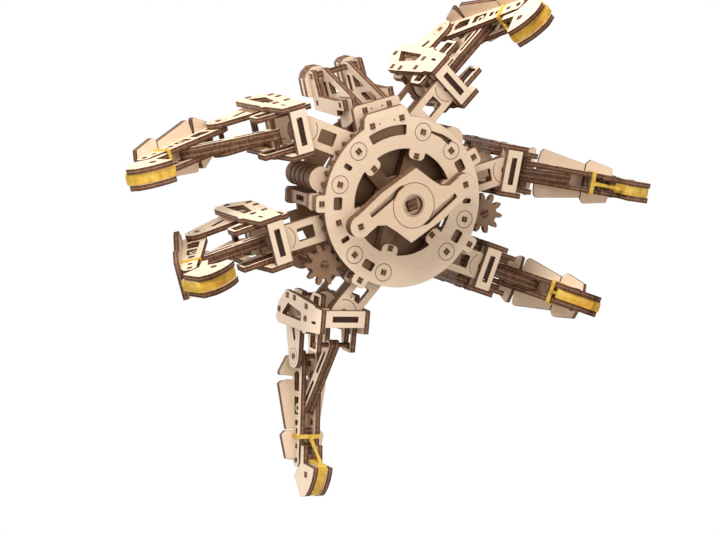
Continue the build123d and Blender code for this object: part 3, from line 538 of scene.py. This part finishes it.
for number in HIPS:
    rings = []
    for side, height, angle in loop_path():
        across, up = cos(radians(angle)), sin(radians(angle))
        corners = [
            (LOOP_FROM, LOOP_GAP), (LOOP_TO, LOOP_GAP), (LOOP_TO, BAND_THICK), (LOOP_FROM, BAND_THICK),
        ]
        rings.append([
            on_shank(number, along, side + across * off, height + up * off) for along, off in corners
        ])
    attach(strap(f"leg{number}_shank_loop", rings), f"leg{number}_shin")
    rings = []
    start = ((LOOP_FROM + LOOP_TO) / 2, SHANK_LOW - BAND_THICK)
    for step in range(TENDON_STEPS + 1):
        share = step / TENDON_STEPS
        along = start[0] + (HEEL[0] - start[0]) * share
        height = start[1] + (HEEL[1] - start[1]) * share
        half = TENDON_HALF * (1.0 - TENDON_WAIST * sin(pi * share))
        rings.append([
            on_shank(number, along + off * TENDON_OUT[0], side, height + off * TENDON_OUT[1])
            for side, off in ((-half, 0.0), (half, 0.0), (half, BAND_THICK), (-half, BAND_THICK))
        ])
    tendon = strap(f"leg{number}_tendon", rings)
    ends = [on_shank(number, start[0], 0, start[1]), on_shank(number, HEEL[0], 0, HEEL[1])]
    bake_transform(tendon)

# ---------------------------------------------------------------- rubber on the feet
# A wider band lies in the groove between each foot's pads: down the heel, along the curved
# sole and over the toe. It is what the walker stands on and grips with.
SOLE_HEEL_UP, SOLE_HEEL, SOLE_MIDDLE = (60.0, -8.3), (61.5, -22.5), (70.5, -19.0)
SOLE_TOE, SOLE_FRONT, SOLE_TOP = (78.5, -11.2), (79.5, -5.0), (68.7, 4.1)
HEEL_FACES, TOE_FACES, TOP_FACES = 186.0, 351.0, 410.0      # ways that the band's outside looks
HEEL_STEPS, SOLE_STEPS, TOE_STEPS = 6, 10, 4
SOLE_HALF = 2.8
SOLE_GAP, SOLE_THICK, SOLE_CROWN = 0.03, 0.75, 0.95         # from the wood: inside, edges, middle


def circle_through(first, second, third):
    """Middle of the circle through three points."""
    (ax, ay), (bx, by), (cx, cy) = first, second, third
    twice = 2 * (ax * (by - cy) + bx * (cy - ay) + cx * (ay - by))
    a, b, c = ax * ax + ay * ay, bx * bx + by * by, cx * cx + cy * cy
    x = (a * (by - cy) + b * (cy - ay) + c * (ay - by)) / twice
    y = (a * (cx - bx) + b * (ax - cx) + c * (bx - ax)) / twice
    return x, y


def sole_path():
    """Points along the shank and up from it, with the way that the band's outside looks at each."""
    x, y = circle_through(SOLE_HEEL, SOLE_MIDDLE, SOLE_TOE)
    radius = ((SOLE_HEEL[0] - x) ** 2 + (SOLE_HEEL[1] - y) ** 2) ** 0.5
    first = degrees(atan2(SOLE_HEEL[1] - y, SOLE_HEEL[0] - x)) % 360
    last = degrees(atan2(SOLE_TOE[1] - y, SOLE_TOE[0] - x)) % 360
    path = [(*SOLE_HEEL_UP, HEEL_FACES)]
    for step in range(HEEL_STEPS):
        path.append((*SOLE_HEEL, HEEL_FACES + (first - HEEL_FACES) * step / HEEL_STEPS))
    for step in range(SOLE_STEPS + 1):
        angle = first + (last - first) * step / SOLE_STEPS
        path.append((x + radius * cos(radians(angle)), y + radius * sin(radians(angle)), angle))
    for step in range(TOE_STEPS):
        path.append((*SOLE_TOE, last + (TOE_FACES - last) * (step + 1) / TOE_STEPS))
    for step in range(TOE_STEPS + 1):
        path.append((*SOLE_FRONT, TOE_FACES + (TOP_FACES - TOE_FACES) * step / TOE_STEPS))
    return path + [(*SOLE_TOP, TOP_FACES)]


for number in HIPS:
    rings = []
    for along, height, angle in sole_path():
        ahead, up = cos(radians(angle)), sin(radians(angle))
        rings.append([
            on_shank(number, along + off * ahead, side, height + off * up)
            for side, off in (
                (-SOLE_HALF, SOLE_GAP), (SOLE_HALF, SOLE_GAP),
                (SOLE_HALF, SOLE_THICK), (0.0, SOLE_CROWN), (-SOLE_HALF, SOLE_THICK),
            )
        ])
    sole_band = strap(f"leg{number}_sole_band", rings)
    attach(sole_band, f"leg{number}_foot")
    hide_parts(f"leg{number}_foot_band")

# ---------------------------------------------------------------- rubber on the drum
# The walker's motor is a long rubber strip wound on the drum between its flanges: turns
# that lie side by side, each a little askew. Turning the lever stretches it.
band_low, band_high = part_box("motor_band")
WOUND_OUT = (band_high.x - band_low.x) / 2 - 0.1 * MM
STRIP_THICK = 1.1 * MM
TURNS = 6
TURN_WIDTH = (band_high.z - band_low.z) / TURNS
TURN_GAP = 0.15 * MM
STRIP_EDGE = 0.35 * MM
ASKEW = 0.006             # radians
SEED = 4


def winding_tree():
    """Flat strips with rounded edges that lie as rings round the axis, one on each point, slightly askew."""
    tree, sockets, given, made, join = new_tree("winding", {
        "Radius": "Float", "Strip Thickness": "Float", "Strip Width": "Float", "Edge Radius": "Float",
        "Askew": "Float", "Seed": "Int", "Material": "Material",
    })
    ring = tree.nodes.new("GeometryNodeCurvePrimitiveCircle")
    ring.inputs["Resolution"].default_value = 96
    strip = tree.nodes.new("GeometryNodeCurvePrimitiveQuadrilateral")
    rounded = tree.nodes.new("GeometryNodeFilletCurve")
    solid = tree.nodes.new("GeometryNodeCurveToMesh")
    tilt = tree.nodes.new("FunctionNodeRandomValue")
    tilt.data_type = "FLOAT_VECTOR"
    lowest = tree.nodes.new("ShaderNodeMath")
    lowest.operation = "MULTIPLY"
    lowest.inputs[1].default_value = -1.0
    join(given.outputs["Radius"], ring.inputs["Radius"])
    join(given.outputs["Strip Thickness"], strip.inputs["Width"])
    join(given.outputs["Strip Width"], strip.inputs["Height"])
    join(strip.outputs["Curve"], rounded.inputs["Curve"])
    join(given.outputs["Edge Radius"], rounded.inputs["Radius"])
    join(ring.outputs["Curve"], solid.inputs["Curve"])
    join(rounded.outputs["Curve"], solid.inputs["Profile Curve"])
    join(given.outputs["Askew"], lowest.inputs[0])
    join(lowest.outputs[0], tilt.inputs["Min"])
    join(given.outputs["Askew"], tilt.inputs["Max"])
    join(given.outputs["Seed"], tilt.inputs["Seed"])
    place_on_points(tree, given, made, solid, tilt.outputs["Value"])
    return tree, sockets


winding, winding_sockets = winding_tree()
middles = [(AXIS.x, AXIS.y, band_low.z + TURN_WIDTH * (turn + 0.5)) for turn in range(TURNS)]
wound = grown("wound_rubber", middles, winding, winding_sockets, {
    "Radius": WOUND_OUT - STRIP_THICK / 2, "Strip Thickness": STRIP_THICK,
    "Strip Width": TURN_WIDTH - TURN_GAP, "Edge Radius": STRIP_EDGE,
    "Askew": ASKEW, "Seed": SEED, "Material": BAND,
})
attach(wound, "drive")
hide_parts("motor_band")

# ---------------------------------------------------------------- view and light
# The walker is seen from below and ahead of its right side, its belly to the viewer,
# under four soft lamps and a plain white surround.
FOCAL = 99.0
SENSOR = 36.0
DISTANCE = 1100 * MM
to_right = Vector((-0.1902, 0.8735, -0.4481))
to_floor = Vector((-0.9523, -0.2750, -0.1320))
sight = Vector((-0.2386, 0.4016, 0.8842)).normalized()
OFF_RIGHT, OFF_DOWN = 0.06018, -0.09056        # where the belly sits, in widths of the view
reach = FOCAL / SENSOR
forward = (sight - to_right * (OFF_RIGHT / reach) - to_floor * (OFF_DOWN / reach)).normalized()
right = (to_right - forward * to_right.dot(forward)).normalized()
up = right.cross(forward)
camera_data = bpy.data.cameras.new("camera")
camera_data.lens = FOCAL
camera_data.sensor_width = SENSOR
camera_data.clip_start = 0.01
camera = new_object("camera", camera_data)
facing = Matrix((right, up, -forward)).transposed().to_4x4()
camera.matrix_world = Matrix.Translation(row(0, 0, 0) - sight * DISTANCE) @ facing
bpy.context.scene.camera = camera
centre = row(0, 0, 20)


def soft_light(name, place, size, power):
    """A square lamp turned to the middle of the walker."""
    lamp = bpy.data.lights.new(name, "AREA")
    lamp.size = size
    lamp.energy = power
    aim = (centre - place).to_track_quat("-Z", "Y").to_matrix().to_4x4()
    new_object(name, lamp).matrix_world = Matrix.Translation(place) @ aim


soft_light("key_below", centre + up * 0.75 - forward * 0.60 - right * 0.25, size=0.5, power=11)
soft_light("fill_below", centre - forward * 0.9 + right * 0.6, size=0.8, power=3.5)
soft_light("key_above", centre + Vector((0.3, -0.5, 0.9)), size=0.7, power=9)
soft_light("fill_above", centre + Vector((-0.7, 0.5, 0.6)), size=0.7, power=4)

SURROUND, SEEN_MORE = 0.3, 0.7        # the surround's light, and what is added where it is seen itself
world = bpy.data.worlds.new("studio")
world.use_nodes = True
backdrop = world.node_tree.nodes["Background"]
backdrop.inputs[0].default_value = (1.0, 1.0, 1.0, 1.0)
seen = node(world.node_tree, "ShaderNodeLightPath")
world.node_tree.links.new((seen * SEEN_MORE + SURROUND).socket, backdrop.inputs[1])
bpy.context.scene.world = world
bpy.context.scene.view_settings.view_transform = "Standard"

# ---------------------------------------------------------------- floor
# The plain pale floor that the walker stands on. From below it can be seen through,
# and it keeps no light from the walker.
FLOOR_HALF = 3.0
FLOOR_TONE = (0.78, 0.78, 0.78)
floor_mesh = bpy.data.meshes.new("floor")
corners = [(x * FLOOR_HALF, y * FLOOR_HALF, 0) for x, y in ((-1, -1), (1, -1), (1, 1), (-1, 1))]
floor_mesh.from_pydata(corners, [], [(0, 1, 2, 3)])
floor = new_object("floor", floor_mesh)
floor_material, floor_tree, floor_shader = new_finish("pale_floor", FLOOR_TONE, 0.9)
floor_shader.inputs["Base Color"].default_value = (*FLOOR_TONE, 1)
clear = floor_tree.nodes.new("ShaderNodeBsdfTransparent")
behind = node(floor_tree, "ShaderNodeNewGeometry", output=6)
choose = floor_tree.nodes.new("ShaderNodeMixShader")
floor_tree.links.new(behind.socket, choose.inputs[0])
floor_tree.links.new(floor_shader.outputs[0], choose.inputs[1])
floor_tree.links.new(clear.outputs[0], choose.inputs[2])
floor_out = [n for n in floor_tree.nodes if n.type == "OUTPUT_MATERIAL"][0]
floor_tree.links.new(choose.outputs[0], floor_out.inputs[0])
floor_mesh.materials.append(floor_material)
floor.visible_shadow = False
